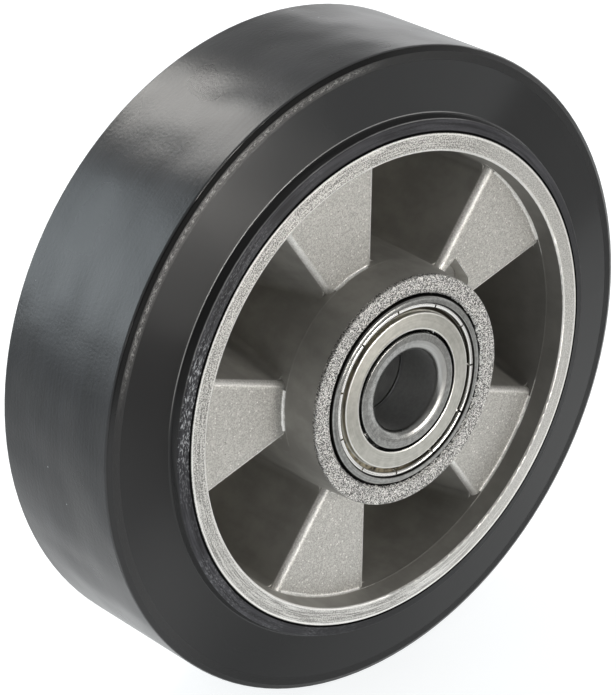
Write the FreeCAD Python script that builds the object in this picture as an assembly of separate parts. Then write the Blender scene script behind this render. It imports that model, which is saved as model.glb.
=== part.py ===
"""Solid rubber wheel: a rubber tyre bonded to a die-cast centre that runs on two shielded ball bearings.

Millimetres. The origin is the centre of the wheel, Y is the axle line, the front face looks along -Y
and +Z is up.
"""
import FreeCAD
import Part
import math
import os

from FreeCAD import Vector

# Tyre
tread_diameter = 160.0
tread_width = 37.6
tread_edge_rounding = 0.8
shoulder_drop = 1.4           # radial fall of the dark band that rounds the tread into the side
shoulder_run = 0.7            # axial rise of the same band
band_width = 2.0              # radial width of the rough band inside the shoulder
band_rise = 0.1
lip_width = 2.95              # radial width of the raised lip that covers the rim's edge
lip_fall = 0.9                # axial fall of the lip from the rim to the top of the step
lip_rounding = 0.7
lip_relief = 0.35             # small bevel of the lip where it meets the rim, radial and axial
lip_crown_fall = 0.12         # highest line of the lip below the rim's end face
step_height = 2.1             # axial height of the step between lip and side
step_slope = 0.7              # radial run of the step
step_fillet = 0.5

# Rim, web and hub of the cast centre
rim_diameter = 122.1
rim_width = 50.0
rim_wall = 4.5                # radial width of the rim's end face
rim_edge_bevel = 0.25
rim_inner_rounding = 0.5
rim_draft = 7.5               # degrees
web_recess = 5.7              # from the rim's end face down to the spoke faces
spoke_count = 5
spoke_direction = 34.9        # degrees from +X towards +Z, middle of the spoke with the notch
spoke_inset = 2.4             # how far a spoke's edge lies inside the line halfway to the next pocket
spoke_edge_rounding = 2.0
spoke_foot_fillet = 0.8       # where a spoke face meets the hub and the rim
plate_thickness = 4.7
wall_thickness = 3.2          # wall between a front pocket and the rear pocket beside it
pocket_draft = 1.7            # degrees, of the pocket's walls on the hub and the rim
pocket_corner_fillet = 1.5
hub_setback = 0.2             # hub end below the bearing's face
hub_wall = 4.92               # radial width of the hub's end face, bearing seat included
hub_draft = 4.2               # degrees
hub_edge_rounding = 0.4
seat_bevel = 0.9
bearing_stop = 3.0            # radial height of the shoulder behind each bearing
notch_left = 4.7              # notch in one spoke, beside the hub
notch_right = 4.9
notch_depth = 4.3
notch_rounding = 2.6

# Bearings and the tube between them
bearing_bore = 20.0
bearing_outer_diameter = 47.0
bearing_width = 14.0
bearing_span = 60.0           # over the outer faces of the two inner rings
ring_corner = 1.2
ring_land_corner = 0.3
ball_count = 8
ball_diameter = 7.938
raceway_depth = 1.6
raceway_ratio = 0.52          # groove radius over ball diameter
raceway_clearance = 0.05
cage_width = 2.7              # radial
cage_sheet = 0.7
cage_clearance = 0.1
rivet_diameter = 1.2
rivet_head_diameter = 2.2
rivet_head_height = 0.5
rivet_clearance = 0.02
outer_face_width = 2.05       # radial width of the outer ring's face
outer_face_bevel = 0.35
shield_sheet = 0.4
shield_setback = 0.25         # shield below the rings' faces
shield_seat_depth = 2.0
shield_gap = 0.8              # to the inner ring
shield_groove = 1.1           # radial width of the groove beside the crimped edge
shield_clearance = 0.02
crimp_width = 1.05
crimp_setback = 0.35
crimp_rounding = 0.4
crimp_count = 11
crimp_slit = 0.45
spacer_wall = 3.0
spacer_clearance = 0.2

# Sizes that follow from the ones above
axle = Vector(0, 1, 0)
origin = Vector(0, 0, 0)
tread_radius = tread_diameter / 2
rim_radius = rim_diameter / 2
rim_half = rim_width / 2
face_y = rim_half - web_recess
pocket_floor = face_y - plate_thickness
spoke_pitch = 360.0 / spoke_count
seat_radius = bearing_outer_diameter / 2
seat_floor = bearing_span / 2 - bearing_width
hub_half = bearing_span / 2 - hub_setback
hub_radius = seat_radius + hub_wall
hub_foot = hub_radius + (hub_half - face_y) * math.tan(math.radians(hub_draft))
rim_inner = rim_radius - rim_wall
rim_foot = rim_inner - web_recess * math.tan(math.radians(rim_draft))
wall_slope = (wall_thickness / 2 + spoke_inset) / face_y
bore_radius = bearing_bore / 2
pitch_radius = (bearing_bore + bearing_outer_diameter) / 4
ball_radius = ball_diameter / 2
groove_radius = raceway_ratio * ball_diameter
inner_land = pitch_radius - ball_radius + raceway_depth
outer_land = pitch_radius + ball_radius - raceway_depth
ring_half = bearing_width / 2
shield_seat = seat_radius - outer_face_width
bearing_y = bearing_span / 2 - ring_half


def outline(corners):
    """A face in the XY plane from corners (x, y, rounding), each rounded by an arc tangent to both sides."""
    spots = [Vector(x, y, 0) for x, y, rounding in corners]
    pieces = []
    for index, here in enumerate(spots):
        rounding = corners[index][2]
        if not rounding:
            pieces.append((here, None, here))
            continue
        back = (spots[index - 1] - here).normalize()
        onward = (spots[(index + 1) % len(spots)] - here).normalize()
        half_angle = back.getAngle(onward) / 2
        reach = rounding / math.tan(half_angle)
        inward = (back + onward).normalize()
        middle = here + inward * (rounding / math.sin(half_angle) - rounding)
        pieces.append((here + back * reach, middle, here + onward * reach))
    edges = []
    for (start, middle, end), following in zip(pieces, pieces[1:] + pieces[:1]):
        if middle:
            edges.append(Part.Arc(start, middle, end).toShape())
        edges.append(Part.LineSegment(end, following[0]).toShape())
    return Part.Face(Part.Wire(edges))


def turned(corners):
    """A solid of revolution about the axle from corners (radius, along the axle, rounding)."""
    return outline(corners).revolve(origin, axle, 360)


def both_ends(corners):
    """The corners of one end of a section followed by the same ones at the other end."""
    return corners + [(radius, -along, rounding) for radius, along, rounding in reversed(corners)]


def turn(shape, degrees):
    """A copy turned about the axle, positive from +X towards +Z."""
    copy = shape.copy()
    copy.rotate(origin, axle, -degrees)
    return copy


def flipped(shape):
    """A copy mirrored front to rear."""
    return shape.mirror(origin, axle)


def shifted(shape, along):
    """A copy moved along the axle."""
    copy = shape.copy()
    copy.translate(axle * along)
    return copy


def make_tyre():
    """Rubber tyre: flat tread, rounded shoulders, sloping sides and a lip up to the rim's edge."""
    lip_top = rim_half - lip_fall
    lip_radius = rim_radius + lip_width
    shoulder_radius = tread_radius - shoulder_drop
    shoulder_y = tread_width / 2 + shoulder_run
    return turned(both_ends([
        (rim_radius, rim_half - lip_relief, 0),
        (rim_radius + lip_relief, rim_half - lip_crown_fall, 0),
        (lip_radius, lip_top, lip_rounding),
        (lip_radius + step_slope, lip_top - step_height, step_fillet),
        (shoulder_radius - band_width, shoulder_y + band_rise, 0),
        (shoulder_radius, shoulder_y, 0),
        (tread_radius, tread_width / 2, tread_edge_rounding),
    ]))


def between_walls():
    """Ring of space between hub and rim, from just above the front spoke faces down to the pocket floors."""
    above = -face_y - spoke_foot_fillet
    taper = (face_y + pocket_floor) * math.tan(math.radians(pocket_draft))
    ring = turned([
        (hub_foot, above, 0),
        (hub_foot, -face_y, 0),
        (hub_foot + taper, pocket_floor, 0),
        (rim_foot - taper, pocket_floor, 0),
        (rim_foot, -face_y, 0),
        (rim_foot, above, 0),
    ])
    return turn(ring, 180)


def beside_wall(profile):
    """A long space along +X from edges of its section in the YZ plane."""
    return Part.Face(Part.Wire(profile)).extrude(Vector(rim_radius, 0, 0))


def make_side_wall():
    """Space beside a pocket's side wall along +X, on its +Z side: the wall leans in with depth."""
    above = -face_y - spoke_foot_fillet
    head = -spoke_inset - wall_slope * spoke_foot_fillet
    foot = -spoke_inset + wall_slope * (pocket_floor + face_y)
    section = Part.makePolygon([
        Vector(0, above, head),
        Vector(0, pocket_floor, foot),
        Vector(0, pocket_floor, rim_radius),
        Vector(0, above, rim_radius),
        Vector(0, above, head),
    ])
    return beside_wall(section.Edges)


def make_spoke_edge():
    """Space over the spoke's rounded edge above the same wall, the arc tangent to spoke face and wall."""
    above = -face_y - spoke_foot_fillet
    lean = math.atan(wall_slope)
    reach = spoke_edge_rounding * math.tan((math.pi / 2 - lean) / 2)
    edge = Vector(0, -face_y, -spoke_inset)
    on_face = edge - Vector(0, 0, reach)
    on_wall = edge + Vector(0, math.cos(lean), math.sin(lean)) * reach
    centre = on_face + Vector(0, spoke_edge_rounding, 0)
    middle = centre + (edge - centre).normalize() * spoke_edge_rounding
    inside = on_wall + Vector(0, 0, spoke_edge_rounding)
    rest = Part.makePolygon([
        on_wall,
        inside,
        Vector(0, above, inside.z),
        Vector(0, above, on_face.z),
        on_face,
    ])
    return beside_wall([Part.Arc(on_face, middle, on_wall).toShape()] + rest.Edges)


def make_pocket():
    """Space of one front pocket, its middle on +X: rounded corners and rounded spoke edges."""
    ring = between_walls()
    quarter_pitch = spoke_pitch / 4

    def both_sides(lower):
        upper = lower.mirror(origin, Vector(0, 0, 1))
        return turn(lower, -quarter_pitch), turn(upper, quarter_pitch)

    space = ring
    for wall in both_sides(make_side_wall()):
        space = space.common(wall)
    space = space.removeSplitter()
    depth = pocket_floor + face_y
    corners = [edge for edge in space.Edges if abs(edge.BoundBox.YLength - depth) < spoke_foot_fillet]
    space = space.makeFillet(pocket_corner_fillet, corners)
    return space.fuse([ring.common(edge) for edge in both_sides(make_spoke_edge())]).removeSplitter()


def make_notch():
    """Space of the notch that goes through one front spoke beside the hub, its middle on +X."""
    reach = hub_foot + notch_depth
    plan = outline([
        (0, -notch_right, 0),
        (reach, -notch_right, notch_rounding),
        (reach, notch_left, 0),
        (0, notch_left, 0),
    ])
    plan.rotate(origin, Vector(1, 0, 0), 90)
    plan.translate(Vector(0, -rim_half, 0))
    through = rim_half - pocket_floor + wall_thickness
    return plan.extrude(Vector(0, through, 0)).common(between_walls())


def make_centre():
    """Cast centre: rim, hub and a web folded into front and rear pockets, with a notch in one front spoke."""
    stop_radius = seat_radius - bearing_stop
    body = turned(both_ends([
        (stop_radius, seat_floor, 0),
        (seat_radius, seat_floor, 0),
        (seat_radius, hub_half - seat_bevel, 0),
        (seat_radius + seat_bevel, hub_half, 0),
        (hub_radius, hub_half, hub_edge_rounding),
        (hub_foot, face_y, spoke_foot_fillet),
        (rim_foot, face_y, spoke_foot_fillet),
        (rim_inner, rim_half, rim_inner_rounding),
        (rim_radius - rim_edge_bevel, rim_half, 0),
        (rim_radius, rim_half - rim_edge_bevel, 0),
    ]))
    front = make_pocket()
    rear = flipped(front)
    spaces = [turn(make_notch(), spoke_direction)]
    for index in range(spoke_count):
        spoke = spoke_direction + index * spoke_pitch
        spaces.append(turn(front, spoke + spoke_pitch / 2))
        spaces.append(turn(rear, spoke))
    return body.cut(spaces).removeSplitter()


def make_spacer():
    """Tube that holds the two inner rings apart."""
    length = bearing_span - 2 * bearing_width
    inner = bore_radius + spacer_clearance
    return turned(both_ends([(inner, length / 2, 0), (inner + spacer_wall, length / 2, 0)]))


def raceway(bottom_offset):
    """Ring-shaped groove tool with its section's centre at the given distance from the pitch circle."""
    return Part.makeTorus(pitch_radius + bottom_offset, groove_radius, origin, axle)


def make_inner_ring():
    """Inner ring of a bearing, centred on the origin."""
    ring = turned(both_ends([
        (bore_radius, ring_half, ring_corner),
        (inner_land, ring_half, ring_land_corner),
    ]))
    return ring.cut(raceway(groove_radius - ball_radius - raceway_clearance))


def make_outer_ring():
    """Outer ring of a bearing, stepped inside each end to take a shield."""
    ledge = ring_half - shield_seat_depth
    ring = turned(both_ends([
        (outer_land, ledge, 0),
        (shield_seat, ledge, 0),
        (shield_seat, ring_half - outer_face_bevel, 0),
        (shield_seat + outer_face_bevel, ring_half, 0),
        (seat_radius, ring_half, ring_corner),
    ]))
    return ring.cut(raceway(ball_radius + raceway_clearance - groove_radius))


def make_shield():
    """Pressed shield of the outer end: flat ring, groove, and a crimped edge with slits."""
    ledge = ring_half - shield_seat_depth
    flat_top = ring_half - shield_setback
    flat_outer = shield_seat - crimp_width - shield_groove
    crimp_inner = shield_seat - crimp_width
    crimp_top = ring_half - crimp_setback
    edge = shield_seat - shield_clearance
    shield = turned([
        (inner_land + shield_gap, flat_top, 0),
        (flat_outer, flat_top, shield_sheet / 2),
        (flat_outer, ledge + shield_sheet, 0),
        (crimp_inner, ledge + shield_sheet, 0),
        (crimp_inner, crimp_top, crimp_rounding),
        (edge, crimp_top, crimp_rounding),
        (edge, ledge, 0),
        (flat_outer - shield_sheet, ledge, 0),
        (flat_outer - shield_sheet, flat_top - shield_sheet, 0),
        (inner_land + shield_gap, flat_top - shield_sheet, 0),
    ])
    corner = Vector(crimp_inner - shield_groove / 2, ledge + shield_sheet, -crimp_slit / 2)
    slit = Part.makeBox(crimp_width + shield_groove, shield_seat_depth, crimp_slit, corner)
    return shield.cut([turn(slit, index * 360.0 / crimp_count) for index in range(crimp_count)])


def ball_places():
    """Directions of the balls, in degrees."""
    return [index * 360.0 / ball_count for index in range(ball_count)]


def make_ball(degrees):
    """One ball on the pitch circle."""
    return turn(Part.makeSphere(ball_radius, Vector(pitch_radius, 0, 0)), degrees)


def rivet_places():
    """Directions of the cage's rivets, halfway between the balls."""
    return [degrees + 180.0 / ball_count for degrees in ball_places()]


def make_cage_half():
    """Outer half of the pressed cage: flat between the balls and domed over them."""
    inner = pitch_radius - cage_width / 2
    outer = pitch_radius + cage_width / 2
    pocket_radius = ball_radius + cage_clearance
    dome_radius = pocket_radius + cage_sheet
    height = dome_radius + cage_sheet
    band = turned([(inner, 0, 0), (outer, 0, 0), (outer, height, 0), (inner, height, 0)])
    flat = turned([(inner, 0, 0), (outer, 0, 0), (outer, cage_sheet, 0), (inner, cage_sheet, 0)])
    dome = Part.makeSphere(dome_radius, Vector(pitch_radius, 0, 0)).common(band)
    pocket = Part.makeSphere(pocket_radius, Vector(pitch_radius, 0, 0))
    hole_radius = rivet_diameter / 2 + rivet_clearance
    hole = Part.makeCylinder(hole_radius, height, Vector(pitch_radius, 0, 0), axle)
    half = flat.fuse([turn(dome, degrees) for degrees in ball_places()])
    half = half.cut([turn(pocket, degrees) for degrees in ball_places()])
    return half.cut([turn(hole, degrees) for degrees in rivet_places()]).removeSplitter()


def make_rivets():
    """The rivets that hold the two cage halves together, as one group."""
    shank = rivet_diameter / 2
    head = rivet_head_diameter / 2
    tip = cage_sheet + rivet_head_height
    half_section = [(0, tip, 0), (shank, tip, 0), (head, cage_sheet, 0), (shank, cage_sheet, 0)]
    rivet = turned(both_ends(half_section))
    rivet.translate(Vector(pitch_radius, 0, 0))
    return Part.makeCompound([turn(rivet, degrees) for degrees in rivet_places()])


def make_bearing(end, along):
    """The pieces of one bearing at its place along the axle, by node name."""
    shield = make_shield()
    cage_half = make_cage_half()
    pieces = {
        "outer_ring": make_outer_ring(),
        "inner_ring": make_inner_ring(),
        "rear_shield": shield,
        "front_shield": flipped(shield),
        "rear_cage_half": cage_half,
        "front_cage_half": flipped(cage_half),
        "cage_rivets": make_rivets(),
    }
    for number, degrees in enumerate(ball_places(), start=1):
        pieces[f"ball_{number}"] = make_ball(degrees)
    return {f"{end}_bearing_{name}": shifted(shape, along) for name, shape in pieces.items()}


nodes = {"tyre": make_tyre(), "wheel_centre": make_centre(), "spacer_tube": make_spacer()}
nodes.update(make_bearing("front", -bearing_y))
nodes.update(make_bearing("rear", bearing_y))

os.makedirs("parts", exist_ok=True)
for node, shape in nodes.items():
    shape.exportStep(f"parts/{node}.step")
    print(f"{node}: {len(shape.Solids)} solid, {shape.Volume:.1f} mm3, valid {shape.isValid()}")
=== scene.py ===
"""Looks of the solid rubber wheel: a pale studio, the camera and the finish of every piece.

Metres, in the frame of the solids: the origin is the centre of the wheel, Y is the axle line, the front
looks along -Y and +Z is up. Colours are linear red, green and blue.
"""
import bpy
import math
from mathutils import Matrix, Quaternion, Vector


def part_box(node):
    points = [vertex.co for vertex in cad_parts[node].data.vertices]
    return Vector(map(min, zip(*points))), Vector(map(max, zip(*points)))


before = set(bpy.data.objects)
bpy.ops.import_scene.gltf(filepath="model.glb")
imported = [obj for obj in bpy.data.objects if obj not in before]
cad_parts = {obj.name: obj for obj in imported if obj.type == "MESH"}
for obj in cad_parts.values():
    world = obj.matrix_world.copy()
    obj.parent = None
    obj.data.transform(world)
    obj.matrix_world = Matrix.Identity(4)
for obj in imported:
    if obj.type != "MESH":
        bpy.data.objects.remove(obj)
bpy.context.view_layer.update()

MM = 0.001

# Camera, fitted to the circles of the tyre, the rim and the bearing
CAMERA_PLACE = Vector((-0.42712, -0.48198, 0.31035))
CAMERA_AZIMUTH = math.radians(-41.24)
CAMERA_ELEVATION = math.radians(25.70)
CAMERA_LENS = 154.9
CAMERA_NEAR = 0.01

# Radii and distances from the middle plane where one finish gives way to another
TREAD_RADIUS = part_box("tyre")[1].z
TREAD_EDGE_Y = 18.8 * MM
BLACK_BAND = 78.7 * MM
ROUGH_BAND = 76.6 * MM
STEP_FOOT = 64.9 * MM
LIP_EDGE = 64.0 * MM
RIM_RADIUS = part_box("wheel_centre")[1].z
RIM_INNER = 56.55 * MM
RIM_Y = 25.0 * MM
WEB_INNER = 31.0 * MM
WEB_OUTER = 53.5 * MM
HUB_RADIUS = 28.42 * MM
HUB_Y = 29.8 * MM
SEAT_RADIUS = 23.5 * MM
FACE_Y = 19.3 * MM
POCKET_Y = 14.6 * MM

# The scuffed place on the lip of the tyre
SCAR_PLACE = (-60.5 * MM, 0.0, 13.5 * MM)
SCAR_REACH = 22.0 * MM
SCAR_HEART = 7.0 * MM

# The spokes, and the notch beside the hub in one of them
SPOKES = 5.0
NOTCH_TURN = math.radians(34.9)
NOTCH_REACH = 34.0 * MM
NOTCH_HALF = 5.5 * MM
NOTCH_FOOT = 29.3 * MM

# Circles of the bearing, from the bore outwards, and its distances from the middle plane
BORE_EDGE = 11.0 * MM
THROAT_EDGE = 12.6 * MM
LAND_CORNER = 14.0 * MM
SHIELD_INNER = 15.2 * MM
SHIELD_PLATE = 19.3 * MM
SHIELD_GROOVE = 20.4 * MM
CRIMP_RADIUS = 21.4 * MM
LAND_RADIUS = 21.7 * MM
RING_Y = 30.0 * MM
RING_REAR_Y = 17.5 * MM

# Colours of the rubber
SIDE_DARK = (0.010, 0.0103, 0.0107)
SIDE_LIGHT = (0.0125, 0.0128, 0.013)
SIDE_LIT_LEFT = (0.020, 0.020, 0.0204)
TREAD_DARK = (0.009, 0.010, 0.011)
HAZE_DARK = (0.010, 0.011, 0.013)
HAZE_LIGHT = (0.017, 0.019, 0.023)
TREAD_EDGE_HIGHLIGHT = (0.095, 0.095, 0.097)
DUST_GREY = (0.30, 0.31, 0.32)
SHOULDER_BLACK = (0.005, 0.005, 0.005)
SHOULDER_PLAIN = (0.006, 0.006, 0.006)
SHOULDER_LIT_LEFT = (0.019, 0.019, 0.0194)
GRIT_HIGHLIGHT_DARK = (0.026, 0.0257, 0.025)
GRIT_HIGHLIGHT_GREY = (0.12, 0.118, 0.114)
GRIT_HIGHLIGHT_LIGHT = (0.36, 0.355, 0.345)
STEP_BLACK = (0.013, 0.013, 0.0133)
LIP_LOWER_RIGHT = (0.008, 0.008, 0.009)
LIP_DARK = (0.022, 0.022, 0.0247)
LIP_LIGHT = (0.060, 0.060, 0.067)
SCUFF_PALE = (0.42, 0.43, 0.45)
HIGHLIGHT_GREY = (0.32, 0.32, 0.32)
JOINT_SHADE_BLACK = (0.002, 0.002, 0.002)

# Colours of the casting
SPOKE_DARK = (0.355, 0.349, 0.33)
SPOKE_LIGHT = (0.53, 0.522, 0.494)
SPOKE_GLINT = (0.95, 0.94, 0.90)
SPOKE_PIT = (0.20, 0.19, 0.175)
ROUNDED_HIGHLIGHT_DARK = (0.72, 0.71, 0.68)
ROUNDED_HIGHLIGHT_LIGHT = (1.0, 0.99, 0.96)
LATHE_DARK = (0.20, 0.196, 0.186)
LATHE_LIGHT = (0.74, 0.73, 0.70)
SMOOTH_RIM_DARK = (0.38, 0.373, 0.352)
SMOOTH_RIM_LIGHT = (0.66, 0.65, 0.622)
LOW_RIM_GREY = (0.36, 0.354, 0.336)
SCORE_AND_HIGHLIGHT_METAL = (0.95, 0.94, 0.91)
BLAST_DARK = (0.08, 0.078, 0.075)
BLAST_LIGHT = (0.79, 0.78, 0.755)
SKIN_DARK = (0.325, 0.316, 0.293)
SKIN_LIGHT = (0.405, 0.396, 0.368)
RIM_WALL_SHADE = (0.10, 0.097, 0.09)
GAP_SHADE_BLACK = (0.006, 0.006, 0.006)

# Colours of the bearings and the spacer
RING_DARK = (0.25, 0.25, 0.24)
RING_LIGHT = (0.42, 0.42, 0.405)
RING_BAND_SHADE = (0.10, 0.10, 0.097)
LIT_THROAT_DARK = (0.27, 0.27, 0.263)
LIT_THROAT_LIGHT = (0.58, 0.58, 0.56)
LEDGE_DARK = (0.12, 0.12, 0.115)
BORE_DARK = (0.30, 0.30, 0.30)
BORE_LIGHT = (0.50, 0.50, 0.49)
BORE_REAR = (0.32, 0.32, 0.32)
RING_SHADE_BLACK = (0.012, 0.011, 0.010)
PLATE_DARK = (0.39, 0.384, 0.348)
PLATE_LIGHT = (0.55, 0.54, 0.497)
PLATE_ROLL_HIGHLIGHT = (0.82, 0.81, 0.77)
GROOVE_OIL = (0.02, 0.016, 0.010)
GROOVE_STAIN = (0.34, 0.295, 0.21)
CRIMP_DARK = (0.75, 0.74, 0.72)
CRIMP_LIGHT = (0.95, 0.94, 0.91)
CAGE_DARK = (0.35, 0.35, 0.35)
CAGE_LIGHT = (0.5, 0.5, 0.5)
BALL_DARK = (0.6, 0.6, 0.6)
BALL_LIGHT = (0.7, 0.7, 0.7)
SPACER_DARK = (0.34, 0.34, 0.335)
SPACER_LIGHT = (0.46, 0.46, 0.45)

# Floor: its reach, its colours and how brightly its areas of painted glow shine
FLOOR_REACH = 6.0
FLOOR_GREY = (0.40, 0.40, 0.40)
FLOOR_GLOW = (0.97, 0.99, 1.0)
POOL_GLOW = 0.86
PATCH_GLOW = 0.42
LEFT_SHARE = 0.4
RIGHT_SHARE = 0.28

# Studio: its colour, the direction of its bright side, and its levels in front, behind and overhead
STUDIO_WHITE = (1.0, 1.0, 1.0)
STUDIO_BACK = (0.625, 0.78, 0.0)
STUDIO_DIM = 0.16
STUDIO_BRIGHT = 1.7
STUDIO_TOP_SHARE = 0.45


class Nodes:
    """A node tree, with a short call for each kind of node that is used here."""

    def __init__(self, tree):
        self.tree = tree

    def feed(self, socket, value):
        """Links a node's output to a socket, or sets the socket to a number or colour."""
        if isinstance(value, bpy.types.NodeSocket):
            self.tree.links.new(value, socket)
        elif socket.type == "RGBA":
            socket.default_value = (*value, 1.0)
        else:
            socket.default_value = value

    def node(self, kind, inputs=(), **settings):
        """Makes a node with its inputs and settings."""
        made = self.tree.nodes.new("ShaderNode" + kind)
        for key, value in settings.items():
            setattr(made, key, value)
        for key, value in dict(inputs).items():
            self.feed(made.inputs[key], value)
        return made

    def math(self, operation, first, second=0.0):
        """Result of an operation on one or two numbers."""
        return self.node("Math", {0: first, 1: second}, operation=operation).outputs[0]

    def plus(self, first, *others):
        """Sum of numbers."""
        for other in others:
            first = self.math("ADD", first, other)
        return first

    def minus(self, first, second):
        """Difference of two numbers."""
        return self.math("SUBTRACT", first, second)

    def times(self, first, *others):
        """Product of masks or numbers."""
        for other in others:
            first = self.math("MULTIPLY", first, other)
        return first

    def either(self, first, *others):
        """The highest of some masks."""
        for other in others:
            first = self.math("MAXIMUM", first, other)
        return first

    def without(self, mask):
        """Where a mask isn't."""
        return self.math("SUBTRACT", 1.0, mask)

    def split(self, vector):
        """The three parts of a vector."""
        made = self.node("SeparateXYZ", {0: vector})
        return made.outputs[0], made.outputs[1], made.outputs[2]

    def join(self, x, y, z):
        """A vector of three parts."""
        return self.node("CombineXYZ", {0: x, 1: y, 2: z}).outputs[0]

    def rise(self, value, low, high):
        """0 up to low, 1 from high, smooth between; low above high makes it fall."""
        made = self.node("MapRange", {0: value, 1: low, 2: high}, interpolation_type="SMOOTHSTEP")
        return made.outputs[0]

    def band(self, value, low, high, soft):
        """1 between low and high, with soft edges."""
        up = self.rise(value, low - soft, low + soft)
        down = self.rise(value, high + soft, high - soft)
        return self.times(up, down)

    def ramp(self, value, low, high, start, end):
        """A straight change from start at low to end at high, level before and after."""
        return self.node("MapRange", {0: value, 1: low, 2: high, 3: start, 4: end}).outputs[0]

    def mix(self, factor, low, high):
        """Blend of two colours."""
        made = self.node("Mix", {0: factor, 6: low, 7: high}, data_type="RGBA")
        return made.outputs[2]

    def blend(self, factor, low, high):
        """Blend of two numbers."""
        return self.node("Mix", {0: factor, 2: low, 3: high}, data_type="FLOAT").outputs[0]


class Shader(Nodes):
    """The nodes of one material: the place on the piece, and the patterns that a finish is made of."""

    def __init__(self, name):
        self.material = bpy.data.materials.new(name)
        self.material.use_nodes = True
        super().__init__(self.material.node_tree)
        self.tree.nodes.clear()
        self.surface = self.node("BsdfPrincipled")
        self.node("OutputMaterial", {"Surface": self.surface.outputs["BSDF"]})
        place = self.node("TexCoord")
        self.spot = place.outputs["Object"]
        self.x, self.y, self.z = self.split(self.spot)
        self.depth = self.math("ABSOLUTE", self.y)
        self.flat = self.join(self.x, 0.0, self.z)
        self.radius = self.node("VectorMath", {0: self.flat}, operation="LENGTH").outputs["Value"]
        self.axial = self.math("ABSOLUTE", self.split(place.outputs["Normal"])[1])

    def noise(self, size, vector=None, detail=2.0, roughness=0.5):
        """Noise from about 0 to 1 whose spots are about size across."""
        made = self.node("TexNoise", {"Vector": vector or self.spot, "Scale": 1.0 / size, "Detail": detail,
                                      "Roughness": roughness})
        return made.outputs[0]

    def cells(self, size):
        """Grains about size across, each with its own level from 0 to 1."""
        return self.node("TexVoronoi", {"Vector": self.spot, "Scale": 1.0 / size}).outputs["Color"]

    def dots(self, size, spacing):
        """Small round specks, one in each cell of the spacing."""
        made = self.node("TexVoronoi", {"Vector": self.spot, "Scale": 1.0 / spacing})
        return self.rise(made.outputs["Distance"], 0.5 * size / spacing, 0.2 * size / spacing)

    def turned(self, width, length, detail=2.0):
        """Noise in lines round the axle, about width across and length long."""
        share = width / length
        across = self.plus(self.radius, self.depth)
        vector = self.join(self.times(self.x, share), across, self.times(self.z, share))
        return self.noise(width, vector, detail)

    def climb(self, low, high, slope):
        """Height of a slope that runs outwards from the radius low to the radius high."""
        return self.ramp(self.radius, low, high, 0.0, slope * (high - low))

    def relief(self, *layers, height=0.0):
        """Normal of a relief: a height in metres and layers of a pattern round 0.5, its depth and a mask."""
        for pattern, depth, mask in layers:
            level = self.minus(pattern, 0.5)
            height = self.plus(self.times(level, depth, mask), height)
        return self.node("Bump", {"Height": height, "Distance": 1.0, "Strength": 1.0}).outputs[0]

    def finish(self, **sockets):
        """Sets the surface's own sockets, by names with spaces written as underscores."""
        for key, value in sockets.items():
            self.feed(self.surface.inputs[key.replace("_", " ")], value)
        return self.material


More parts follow.
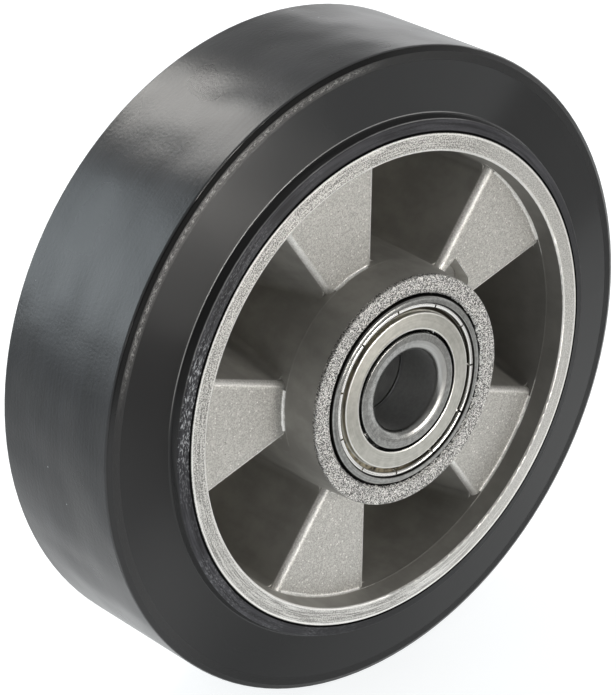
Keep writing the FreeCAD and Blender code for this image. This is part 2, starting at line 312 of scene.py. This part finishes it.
def make_rubber():
    """Black rubber: hazy wavy tread, black shoulder, a band of grit, smooth side and a scuffed lip, with
    painted highlights at the upper left, painted light on the left and painted shade where it meets the rim.
    """
    s = Shader("black_rubber")

    # Zones of the section, from the tread inwards
    tread = s.rise(s.radius, TREAD_RADIUS - 0.3 * MM, TREAD_RADIUS - 0.1 * MM)
    tread_edge_highlight = s.times(tread, s.rise(s.depth, TREAD_EDGE_Y - 0.5 * MM, TREAD_EDGE_Y - 0.1 * MM))
    shoulder = s.band(s.radius, BLACK_BAND, TREAD_RADIUS - 0.2 * MM, 0.1 * MM)
    rough = s.band(s.radius, ROUGH_BAND, BLACK_BAND, 0.1 * MM)
    rough_core = s.band(s.radius, ROUGH_BAND + 0.6 * MM, BLACK_BAND - 0.4 * MM, 0.35 * MM)
    step_edge = s.band(s.radius, STEP_FOOT, STEP_FOOT + 0.2 * MM, 0.12 * MM)
    step = s.band(s.radius, LIP_EDGE + 0.2 * MM, STEP_FOOT - 0.2 * MM, 0.1 * MM)
    lip_edge = s.band(s.radius, LIP_EDGE - 0.1 * MM, LIP_EDGE + 0.05 * MM, 0.08 * MM)
    lip = s.rise(s.radius, LIP_EDGE + 0.1 * MM, LIP_EDGE - 0.1 * MM)
    joint_shade = s.rise(s.radius, RIM_RADIUS + 0.45 * MM, RIM_RADIUS + 0.35 * MM)

    # Patterns
    cloud = s.rise(s.noise(26 * MM), 0.2, 0.8)
    patch = s.rise(s.noise(9 * MM, detail=3.0), 0.4, 0.62)
    streak = s.turned(0.5 * MM, 14 * MM)
    scratch = s.turned(0.16 * MM, 0.9 * MM, detail=3.0)
    grain = s.noise(0.45 * MM)
    grit = s.turned(0.22 * MM, 0.6 * MM)
    clump = s.rise(s.noise(1.1 * MM, detail=3.0), 0.38, 0.64)
    dust = s.times(s.dots(0.45 * MM, 7 * MM), tread)

    # Where the tyre is worn or dry, where painted highlights and painted light fall on it, and where its lip
    # is darker towards the lower right
    worn_left = s.rise(s.x, 0.0, -55 * MM)
    highlight_top = s.times(s.rise(s.z, 4 * MM, 24 * MM), s.rise(s.x, 34 * MM, 12 * MM))
    painted_highlight_edge = s.times(s.either(s.times(lip_edge, s.blend(patch, 0.5, 1.0)), step_edge), highlight_top)
    # The upper left side, where the band of grit gets a painted highlight
    highlight_side = s.rise(s.minus(s.z, s.times(s.x, 0.8)), 76 * MM, 92 * MM)
    # The lip is darker and plainer towards the lower right
    lip_lower_right = s.rise(s.minus(s.z, s.x), 5 * MM, -60 * MM)
    # Painted light: the side, and the shoulder low down, are lighter towards the left
    lit_left = s.rise(s.x, -48 * MM, -68 * MM)
    lit_left_low = s.times(lit_left, s.rise(s.z, 22 * MM, 6 * MM))
    dry_low = s.rise(s.minus(s.z, s.times(s.x, 0.6)), 10 * MM, -45 * MM)
    dry = s.times(s.without(tread), dry_low, 0.85)
    from_scar = s.node("VectorMath", {0: s.flat, 1: SCAR_PLACE}, operation="DISTANCE").outputs["Value"]
    scar = s.times(s.rise(from_scar, SCAR_REACH, SCAR_HEART), s.rise(s.noise(2 * MM), 0.3, 0.5))
    light_wear = s.times(patch, s.blend(worn_left, 0.04, 0.22))
    scuff = s.times(s.rise(scratch, 0.52, 0.62), s.either(scar, light_wear))

    # Colour
    side = s.mix(lit_left, s.mix(cloud, SIDE_DARK, SIDE_LIGHT), SIDE_LIT_LEFT)
    haze = s.mix(s.rise(streak, 0.35, 0.65), HAZE_DARK, HAZE_LIGHT)
    edge_black = s.mix(highlight_side, s.mix(lit_left_low, SHOULDER_PLAIN, SHOULDER_LIT_LEFT), SHOULDER_BLACK)
    specks = s.times(rough_core, s.rise(grit, 0.38, 0.62))
    grit_and_highlight = s.mix(specks, GRIT_HIGHLIGHT_DARK, s.mix(clump, GRIT_HIGHLIGHT_GREY, GRIT_HIGHLIGHT_LIGHT))
    lip_black = s.mix(lip_lower_right, s.mix(s.rise(streak, 0.3, 0.7), LIP_DARK, LIP_LIGHT), LIP_LOWER_RIGHT)
    colour = s.mix(tread, side, s.mix(cloud, TREAD_DARK, haze))
    colour = s.mix(shoulder, colour, edge_black)
    colour = s.mix(step, colour, STEP_BLACK)
    # Grit band at the upper left: real grit, made lighter with pale specks as a painted highlight
    colour = s.mix(s.times(rough, highlight_side), colour, grit_and_highlight)
    colour = s.mix(lip, colour, s.mix(scuff, lip_black, SCUFF_PALE))
    # Painted highlight: a thin grey line along the edges of the tread
    colour = s.mix(s.times(tread_edge_highlight, 0.5), colour, TREAD_EDGE_HIGHLIGHT)
    # Painted highlight: light grey lines on the lip edge and the step foot at the upper left
    colour = s.mix(painted_highlight_edge, colour, HIGHLIGHT_GREY)
    # Painted shade: the crevice where the tyre meets the rim is black, and metallic so that it shows no
    # sheen
    colour = s.mix(joint_shade, colour, JOINT_SHADE_BLACK)
    colour = s.mix(dust, colour, DUST_GREY)

    # Roughness and relief
    side_roughness = s.blend(cloud, 0.115, 0.135)
    tread_roughness = s.blend(cloud, 0.25, 0.34)
    shoulder_roughness = 0.24
    band_roughness = 0.31
    lip_roughness = 0.48
    roughness = s.blend(tread, side_roughness, tread_roughness)
    roughness = s.blend(s.either(lip, joint_shade), roughness, lip_roughness)
    roughness = s.blend(shoulder, roughness, shoulder_roughness)
    roughness = s.blend(rough, roughness, band_roughness)
    clean_shine = 0.36
    dull_shine = 0.15
    shine = s.blend(s.either(lip, dry), clean_shine, dull_shine)
    wave = s.noise(12 * MM, detail=1.0)
    swell = s.noise(24 * MM, detail=1.0)
    ripple = s.noise(0.8 * MM, detail=3.0)
    lean = s.times(s.climb(ROUGH_BAND, BLACK_BAND, slope=-0.3), highlight_side)
    pores = s.relief((grain, 0.004 * MM, 1.0), (grain, 0.009 * MM, tread), (grit, 0.08 * MM, rough),
                     (streak, 0.014 * MM, tread), (scratch, 0.05 * MM, lip), (wave, 0.2 * MM, tread),
                     (ripple, 0.034 * MM, tread), (swell, 1.0 * MM, tread), height=lean)
    return s.finish(Base_Color=colour, Metallic=joint_shade, Roughness=roughness, Specular_IOR_Level=shine,
                    Normal=pores)


def make_casting():
    """Die-cast aluminium: blasted spokes, a turned rim, a coarse hub end and dull cast walls, with painted
    highlights on edges and in the notch, and painted shade in crevices and on the rim's inner wall.
    """
    s = Shader("cast_aluminium")

    # Zones of the casting
    level = s.rise(s.axial, 0.12, 0.45)
    turn = s.minus(s.math("ARCTAN2", s.z, s.x), NOTCH_TURN)
    lobes = s.times(s.math("COSINE", s.times(turn, SPOKES)), s.math("SIGN", s.y), -1.0)
    webbed = s.either(s.rise(lobes, -0.15, 0.05), s.band(s.radius, WEB_INNER, WEB_OUTER, 0.4 * MM),
                      s.rise(s.radius, RIM_INNER - 0.4 * MM, RIM_INNER - 0.2 * MM))
    face = s.times(level, webbed, s.rise(s.depth, FACE_Y - 2.6 * MM, FACE_Y - 1.2 * MM))
    rim = s.times(s.rise(s.depth, RIM_Y - 0.7 * MM, RIM_Y - 0.3 * MM),
                  s.rise(s.radius, RIM_INNER - 0.1 * MM, RIM_INNER))
    rim_edge_highlight = s.either(s.band(s.radius, RIM_RADIUS - 0.7 * MM, RIM_RADIUS - 0.3 * MM, 0.1 * MM),
                        s.rise(s.radius, RIM_INNER + 0.7 * MM, RIM_INNER + 0.3 * MM))
    low_rim = s.rise(s.z, 5 * MM, -35 * MM)
    smooth_rim = s.rise(s.x, 5 * MM, 45 * MM)
    hub = s.rise(s.depth, HUB_Y - 1.1 * MM, HUB_Y - 0.9 * MM)
    bevel_highlight = s.times(hub, s.rise(s.radius, SEAT_RADIUS + 1.1 * MM, SEAT_RADIUS + 0.7 * MM),
                    s.rise(s.minus(s.x, s.z), -8 * MM, 15 * MM))
    turned_face = s.either(rim, hub)
    rounded = s.times(face, s.rise(s.axial, 0.985, 0.9), s.without(turned_face))
    along = s.plus(s.times(s.x, math.cos(NOTCH_TURN)), s.times(s.z, math.sin(NOTCH_TURN)))
    across = s.minus(s.times(s.z, math.cos(NOTCH_TURN)), s.times(s.x, math.sin(NOTCH_TURN)))
    notch = s.times(s.band(along, HUB_RADIUS, NOTCH_REACH, 0.2 * MM),
                    s.band(across, -NOTCH_HALF, NOTCH_HALF, 0.1 * MM),
                    s.rise(s.y, -POCKET_Y, -POCKET_Y - 0.5 * MM),
                    s.rise(s.radius, NOTCH_FOOT, NOTCH_FOOT + 0.3 * MM))
    lit_notch_wall = s.times(notch, s.without(level))
    shown = s.either(face, notch, hub)
    spoke_face = s.minus(face, turned_face)
    shaded_rim_wall = s.times(s.rise(s.radius, RIM_INNER - 4 * MM, RIM_INNER - 2 * MM),
                     s.rise(s.x, 15 * MM, 50 * MM))

    # Patterns
    fine = s.cells(0.27 * MM)
    coarse = s.cells(0.21 * MM)
    lines = s.turned(0.22 * MM, 7 * MM)
    score = s.times(s.rise(s.turned(0.4 * MM, 30 * MM), 0.6, 0.68), low_rim)
    sand = s.noise(0.32 * MM)
    glint = s.dots(0.55 * MM, 1.2 * MM)
    pit = s.dots(0.45 * MM, 4.3 * MM)
    blotch = s.noise(8 * MM, detail=4.0, roughness=0.6)
    flow = s.noise(3 * MM, s.join(s.x, s.times(s.y, 0.3), s.z), detail=3.0)
    ragged = s.plus(s.radius, s.times(s.noise(0.8 * MM), -0.9 * MM), s.times(bevel_highlight, 0.05 * MM))
    gap_shade = s.either(s.rise(s.radius, RIM_RADIUS - 0.25 * MM, RIM_RADIUS - 0.15 * MM),
                   s.rise(ragged, SEAT_RADIUS, SEAT_RADIUS - 0.1 * MM))

    # Colour
    spoke = s.mix(s.rise(fine, 0.2, 0.8), SPOKE_DARK, SPOKE_LIGHT)
    spoke = s.mix(s.times(glint, 0.55), spoke, SPOKE_GLINT)
    spoke = s.mix(pit, spoke, SPOKE_PIT)
    # Painted highlight: the rounded edges of the spokes are far lighter than their faces
    spoke = s.mix(rounded, spoke, s.mix(fine, ROUNDED_HIGHLIGHT_DARK, ROUNDED_HIGHLIGHT_LIGHT))
    marks = s.blend(s.blend(low_rim, 0.65, 0.45), lines, sand)
    lathe = s.mix(s.rise(marks, 0.41, 0.59), LATHE_DARK, LATHE_LIGHT)
    sanded = s.mix(s.rise(sand, 0.34, 0.66), SMOOTH_RIM_DARK, SMOOTH_RIM_LIGHT)
    lathe = s.mix(smooth_rim, lathe, sanded)
    lathe = s.mix(s.times(low_rim, 0.3), lathe, LOW_RIM_GREY)
    # Painted highlight: bright lines at the rim's edges; the scores low on the rim are real marks
    lathe = s.mix(s.either(s.times(rim_edge_highlight, 0.7), s.times(score, 0.5)), lathe, SCORE_AND_HIGHLIGHT_METAL)
    blast = s.mix(s.rise(coarse, 0.25, 0.8), BLAST_DARK, BLAST_LIGHT)
    # Painted highlight: bright beads on the seat bevel of the hub at the lower right
    blast = s.mix(s.times(bevel_highlight, s.rise(coarse, 0.3, 0.6)), blast, SCORE_AND_HIGHLIGHT_METAL)
    skin = s.mix(s.rise(s.blend(0.3, blotch, flow), 0.35, 0.65), SKIN_DARK, SKIN_LIGHT)
    # Painted shade: the rim's inner wall is darker on the right
    skin = s.mix(s.times(shaded_rim_wall, 0.6), skin, RIM_WALL_SHADE)
    colour = s.mix(shown, skin, s.mix(hub, s.mix(rim, spoke, lathe), blast))
    # The machined walls of the notch, painted near-white and not metallic as painted light
    colour = s.mix(lit_notch_wall, colour, SCORE_AND_HIGHLIGHT_METAL)
    # Painted shade: black lines in the crevices at the rim's outer edge and round the bearing seat
    colour = s.mix(gap_shade, colour, GAP_SHADE_BLACK)

    # Roughness and relief
    wall_roughness = 0.6
    rim_roughness = 0.38
    spoke_roughness = 0.52
    notch_roughness = 0.5
    rounded_roughness = s.blend(s.rise(s.radius, WEB_INNER + 0.5 * MM, WEB_INNER - 0.5 * MM), 0.5, 0.32)
    roughness = s.blend(shown, wall_roughness, s.blend(rim, spoke_roughness, rim_roughness))
    roughness = s.blend(rounded, roughness, rounded_roughness)
    roughness = s.blend(lit_notch_wall, roughness, notch_roughness)
    wall_metal = 0.5
    spoke_metal = 0.65
    turned_metal = 0.9
    metal = s.blend(s.either(turned_face, rounded), spoke_metal, turned_metal)
    metal = s.blend(shown, wall_metal, metal)
    metal = s.blend(lit_notch_wall, metal, 0.0)
    surface = s.relief((fine, 0.03 * MM, spoke_face), (glint, 0.05 * MM, spoke_face),
                       (s.noise(0.35 * MM), 0.045 * MM, spoke_face),
                       (fine, 0.08 * MM, rounded), (s.noise(0.3 * MM), 0.12 * MM, rounded),
                       (coarse, 0.07 * MM, hub), (s.noise(0.28 * MM), 0.13 * MM, hub),
                       (lines, 0.05 * MM, rim), (s.noise(0.4 * MM), 0.05 * MM, rim),
                       (flow, 0.08 * MM, s.without(shown)))
    return s.finish(Base_Color=colour, Metallic=metal, Roughness=roughness, Normal=surface)


def make_steel(name, dark, light, roughness):
    """Turned or ground steel with fine lines round the axle."""
    s = Shader(name)
    lines = s.turned(0.12 * MM, 12 * MM, detail=3.0)
    blotch = s.noise(2.5 * MM, detail=3.0)
    colour = s.mix(s.rise(s.blend(0.5, lines, blotch), 0.3, 0.7), dark, light)
    surface = s.relief((lines, 0.01 * MM, 1.0))
    return s.finish(Base_Color=colour, Metallic=1.0, Roughness=roughness, Normal=surface)


def make_ring_steel():
    """Ground bearing steel: fine lines round the axle, rounded edges, painted shade in its slits and on its
    outer edge, and a dull bore.
    """
    s = Shader("ring_steel")
    bore = s.rise(s.radius, BORE_EDGE, BORE_EDGE - 0.3 * MM)
    bore_inside = s.times(bore, s.rise(s.depth, RING_Y - 0.9 * MM, RING_Y - 1.5 * MM))
    bore_rear = s.times(bore, s.rise(s.depth, RING_REAR_Y + 0.3 * MM, RING_REAR_Y - 0.3 * MM))
    lit_throat = s.times(s.rise(s.radius, THROAT_EDGE, THROAT_EDGE - 0.4 * MM),
                     s.rise(s.x, -2 * MM, 7 * MM))
    ledge = s.times(s.band(s.radius, THROAT_EDGE - 0.1 * MM, THROAT_EDGE, 0.1 * MM), 0.6,
                    s.rise(s.x, 0.0, 8 * MM))
    ring_shade = s.either(s.band(s.radius, CRIMP_RADIUS, LAND_RADIUS, 0.06 * MM),
                    s.rise(s.radius, SEAT_RADIUS - 0.42 * MM, SEAT_RADIUS - 0.28 * MM))
    rim_band_shade = s.band(s.radius, LAND_RADIUS + 0.8 * MM, SEAT_RADIUS - 0.5 * MM, 0.15 * MM)
    lines = s.turned(0.12 * MM, 12 * MM, detail=3.0)
    blotch = s.noise(0.9 * MM, detail=4.0, roughness=0.65)

    colour = s.mix(s.rise(s.blend(0.6, lines, blotch), 0.35, 0.65), RING_DARK, RING_LIGHT)
    # Painted shade: a darker band on the outer ring's rounding, dimming its highlight
    colour = s.mix(s.times(rim_band_shade, 0.3), colour, RING_BAND_SHADE)
    # Painted light: the rounded mouth of the bore is lighter on its right side
    colour = s.mix(lit_throat, colour, s.mix(lines, LIT_THROAT_DARK, LIT_THROAT_LIGHT))
    colour = s.mix(ledge, colour, LEDGE_DARK)
    colour = s.mix(bore_inside, colour, s.mix(blotch, BORE_DARK, BORE_LIGHT))
    colour = s.mix(bore_rear, colour, BORE_REAR)
    # Painted shade: black in the slit beside the crimp and on the outer ring's rounded edge
    colour = s.mix(ring_shade, colour, RING_SHADE_BLACK)

    face_roughness = s.blend(lit_throat, 0.27, 0.36)
    ring_shade_roughness = 0.4
    bore_roughness = 0.6
    roughness = s.blend(ring_shade, face_roughness, ring_shade_roughness)
    roughness = s.blend(bore_inside, roughness, bore_roughness)
    mouth_edge = BORE_EDGE + 0.9 * MM
    mouth = s.climb(BORE_EDGE - 1.0 * MM, mouth_edge, slope=0.33)
    flare = s.climb(mouth_edge, THROAT_EDGE, slope=0.14)
    corner = s.climb(LAND_CORNER, LAND_CORNER + 0.4 * MM, slope=-0.27)
    shape = s.plus(mouth, flare, corner)
    surface = s.relief((lines, 0.01 * MM, 1.0), (blotch, 0.02 * MM, 1.0), height=shape)
    return s.finish(Base_Color=colour, Metallic=1.0, Roughness=roughness, Normal=surface)


def make_shield_steel():
    """Pressed shield of plated steel: a warm dished plate with painted highlights on its rolled edges, a
    greasy groove and a bright crimped edge.
    """
    s = Shader("shield_steel")
    roll = 0.4 * MM
    plate_zone = s.rise(s.radius, SHIELD_PLATE + 0.35 * MM, SHIELD_PLATE + 0.15 * MM)
    rolled = s.either(s.band(s.radius, SHIELD_PLATE - roll, SHIELD_PLATE, 0.08 * MM),
                      s.rise(s.radius, SHIELD_INNER + roll, SHIELD_INNER + 0.25 * MM))
    crimp = s.rise(s.radius, SHIELD_GROOVE - 0.1 * MM, SHIELD_GROOVE + 0.1 * MM)
    lines = s.turned(0.12 * MM, 12 * MM, detail=3.0)
    blotch = s.noise(1.6 * MM, detail=4.0, roughness=0.6)
    stained = s.times(s.rise(blotch, 0.3, 0.6), s.rise(s.x, 8 * MM, -4 * MM))

    plate = s.mix(s.rise(s.blend(0.5, lines, blotch), 0.3, 0.7), PLATE_DARK, PLATE_LIGHT)
    # Painted highlight: light rings on the plate's rolled edges
    plate = s.mix(s.times(rolled, 0.7), plate, PLATE_ROLL_HIGHLIGHT)
    colour = s.mix(plate_zone, s.mix(stained, GROOVE_OIL, GROOVE_STAIN), plate)
    colour = s.mix(crimp, colour, s.mix(blotch, CRIMP_DARK, CRIMP_LIGHT))

    groove_roughness = 0.28
    plate_roughness = 0.36
    crimp_roughness = 0.25
    roughness = s.blend(plate_zone, groove_roughness, plate_roughness)
    roughness = s.blend(crimp, roughness, crimp_roughness)
    dish = s.climb(SHIELD_INNER + roll, SHIELD_PLATE - roll, slope=-0.1)
    inner_roll = s.climb(SHIELD_INNER, SHIELD_INNER + roll, slope=0.33)
    outer_roll = s.climb(SHIELD_PLATE - roll, SHIELD_PLATE, slope=-0.33)
    crimp_roll = s.climb(SHIELD_GROOVE, CRIMP_RADIUS, slope=0.28)
    shape = s.plus(dish, inner_roll, outer_roll, crimp_roll)
    surface = s.relief((lines, 0.012 * MM, 1.0), height=shape)
    return s.finish(Base_Color=colour, Metallic=1.0, Roughness=roughness, Normal=surface)


def put(material, node):
    """Gives a material to a solid."""
    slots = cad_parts[node].data.materials
    slots.clear()
    slots.append(material)


def stand(name, data, place, turn):
    """Puts a light or the camera at a place, turned by a quaternion."""
    holder = bpy.data.objects.new(name, data)
    holder.location = place
    holder.rotation_mode = "QUATERNION"
    holder.rotation_quaternion = turn
    bpy.context.scene.collection.objects.link(holder)
    return holder


def soft_light(name, place, width, height, radiance, colour, roll=0.0):
    """A softbox at a place, turned towards the wheel and rolled, as bright as its radiance says."""
    lamp = bpy.data.lights.new(name, "AREA")
    lamp.shape = "RECTANGLE"
    lamp.size = width
    lamp.size_y = height
    lamp.color = colour
    lamp.energy = radiance * math.pi * width * height
    aim = (-Vector(place)).to_track_quat("-Z", "Y")
    holder = stand(name, lamp, place, aim @ Quaternion((0, 0, 1), math.radians(roll)))
    holder.visible_camera = False


def make_camera():
    """The photograph's viewing angle."""
    level = math.cos(CAMERA_ELEVATION)
    back = Vector((math.sin(CAMERA_AZIMUTH) * level, -math.cos(CAMERA_AZIMUTH) * level,
                   math.sin(CAMERA_ELEVATION)))
    data = bpy.data.cameras.new("camera")
    data.lens = CAMERA_LENS
    data.clip_start = CAMERA_NEAR
    holder = stand("camera", data, CAMERA_PLACE, (-back).to_track_quat("-Z", "Y"))
    bpy.context.scene.camera = holder


def make_floor():
    """A wide pale floor under the tread, with painted glow behind the wheel and in patches beside and before
    it.
    """
    reach = FLOOR_REACH
    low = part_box("tyre")[0].z
    mesh = bpy.data.meshes.new("floor")
    corners = [(-reach, -reach, low), (reach, -reach, low), (reach, reach, low), (-reach, reach, low)]
    mesh.from_pydata(corners, [], [(0, 1, 2, 3)])
    floor = bpy.data.objects.new("floor", mesh)
    s = Shader("pale_floor")
    behind = s.rise(s.y, -0.19, -0.075)
    left = s.rise(s.x, 0.0, -0.08)
    right = s.times(s.rise(s.x, 0.22, 0.34), RIGHT_SHARE)
    far_right = s.times(s.rise(s.x, 0.35, 0.6), s.rise(s.y, -0.45, -0.65))
    fading = s.blend(s.rise(s.x, -0.5, -0.02), LEFT_SHARE, 1.0)
    # Painted light: the floor glows behind, beside and before the wheel
    pool = s.times(s.either(behind, left, far_right, right), fading, POOL_GLOW)
    front_patch = s.times(s.rise(s.y, -0.335, -0.365), s.band(s.x, 0.045, 0.55, 0.02), PATCH_GLOW)
    mesh.materials.append(s.finish(Base_Color=FLOOR_GREY, Roughness=0.7, Emission_Color=FLOOR_GLOW,
                                   Emission_Strength=s.either(pool, front_patch)))
    bpy.context.scene.collection.objects.link(floor)


def make_studio():
    """A studio that is bright low down behind the wheel and dim in front, with softboxes and a card."""
    world = bpy.data.worlds.new("studio")
    world.use_nodes = True
    n = Nodes(world.node_tree)
    direction = n.node("TexCoord").outputs["Generated"]
    backwards = n.node("VectorMath", {0: direction, 1: STUDIO_BACK}, operation="DOT_PRODUCT")
    level = n.ramp(backwards.outputs["Value"], -0.8, 1.0, STUDIO_DIM, STUDIO_BRIGHT)
    height = n.split(direction)[2]
    fall = n.blend(n.rise(height, 0.05, 0.5), 1.0, STUDIO_TOP_SHARE)
    background = world.node_tree.nodes["Background"]
    n.feed(background.inputs["Strength"], n.times(level, fall))
    n.feed(background.inputs["Color"], STUDIO_WHITE)
    bpy.context.scene.world = world
    bpy.context.scene.view_settings.view_transform = "Standard"
    soft_light("left_softbox", place=(-0.62, 0.70, 0.36), width=0.5, height=0.62, radiance=4.3,
               colour=(0.86, 0.95, 1.0))
    soft_light("top_softbox", place=(-0.03, 0.70, 0.75), width=0.34, height=0.4, radiance=8.8,
               colour=(1.0, 0.98, 0.94))
    soft_light("front_card", place=(0.255, -1.14, 0.0), width=0.58, height=0.2, radiance=21.0,
               colour=(1.0, 0.97, 0.93), roll=33.0)
    soft_light("edge_light", place=(-0.26, -0.57, 0.78), width=0.22, height=0.22, radiance=1.6,
               colour=(1.0, 0.98, 0.95))
    soft_light("low_panel", place=(0.11, -0.36, -0.02), width=0.17, height=0.12, radiance=0.5,
               colour=(1.0, 0.95, 0.88))


put(make_rubber(), "tyre")
put(make_casting(), "wheel_centre")
shield_steel = make_shield_steel()
ring_steel = make_ring_steel()
cage_steel = make_steel("cage_steel", CAGE_DARK, CAGE_LIGHT, roughness=0.4)
ball_steel = make_steel("ball_steel", BALL_DARK, BALL_LIGHT, roughness=0.12)
spacer_steel = make_steel("spacer_steel", SPACER_DARK, SPACER_LIGHT, roughness=0.65)
put(spacer_steel, "spacer_tube")
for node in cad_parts:
    if node.endswith("_ring"):
        put(ring_steel, node)
    elif node.endswith("_shield"):
        put(shield_steel, node)
    elif "_cage_" in node:
        put(cage_steel, node)
    elif "_ball_" in node:
        put(ball_steel, node)

make_camera()
make_floor()
make_studio()
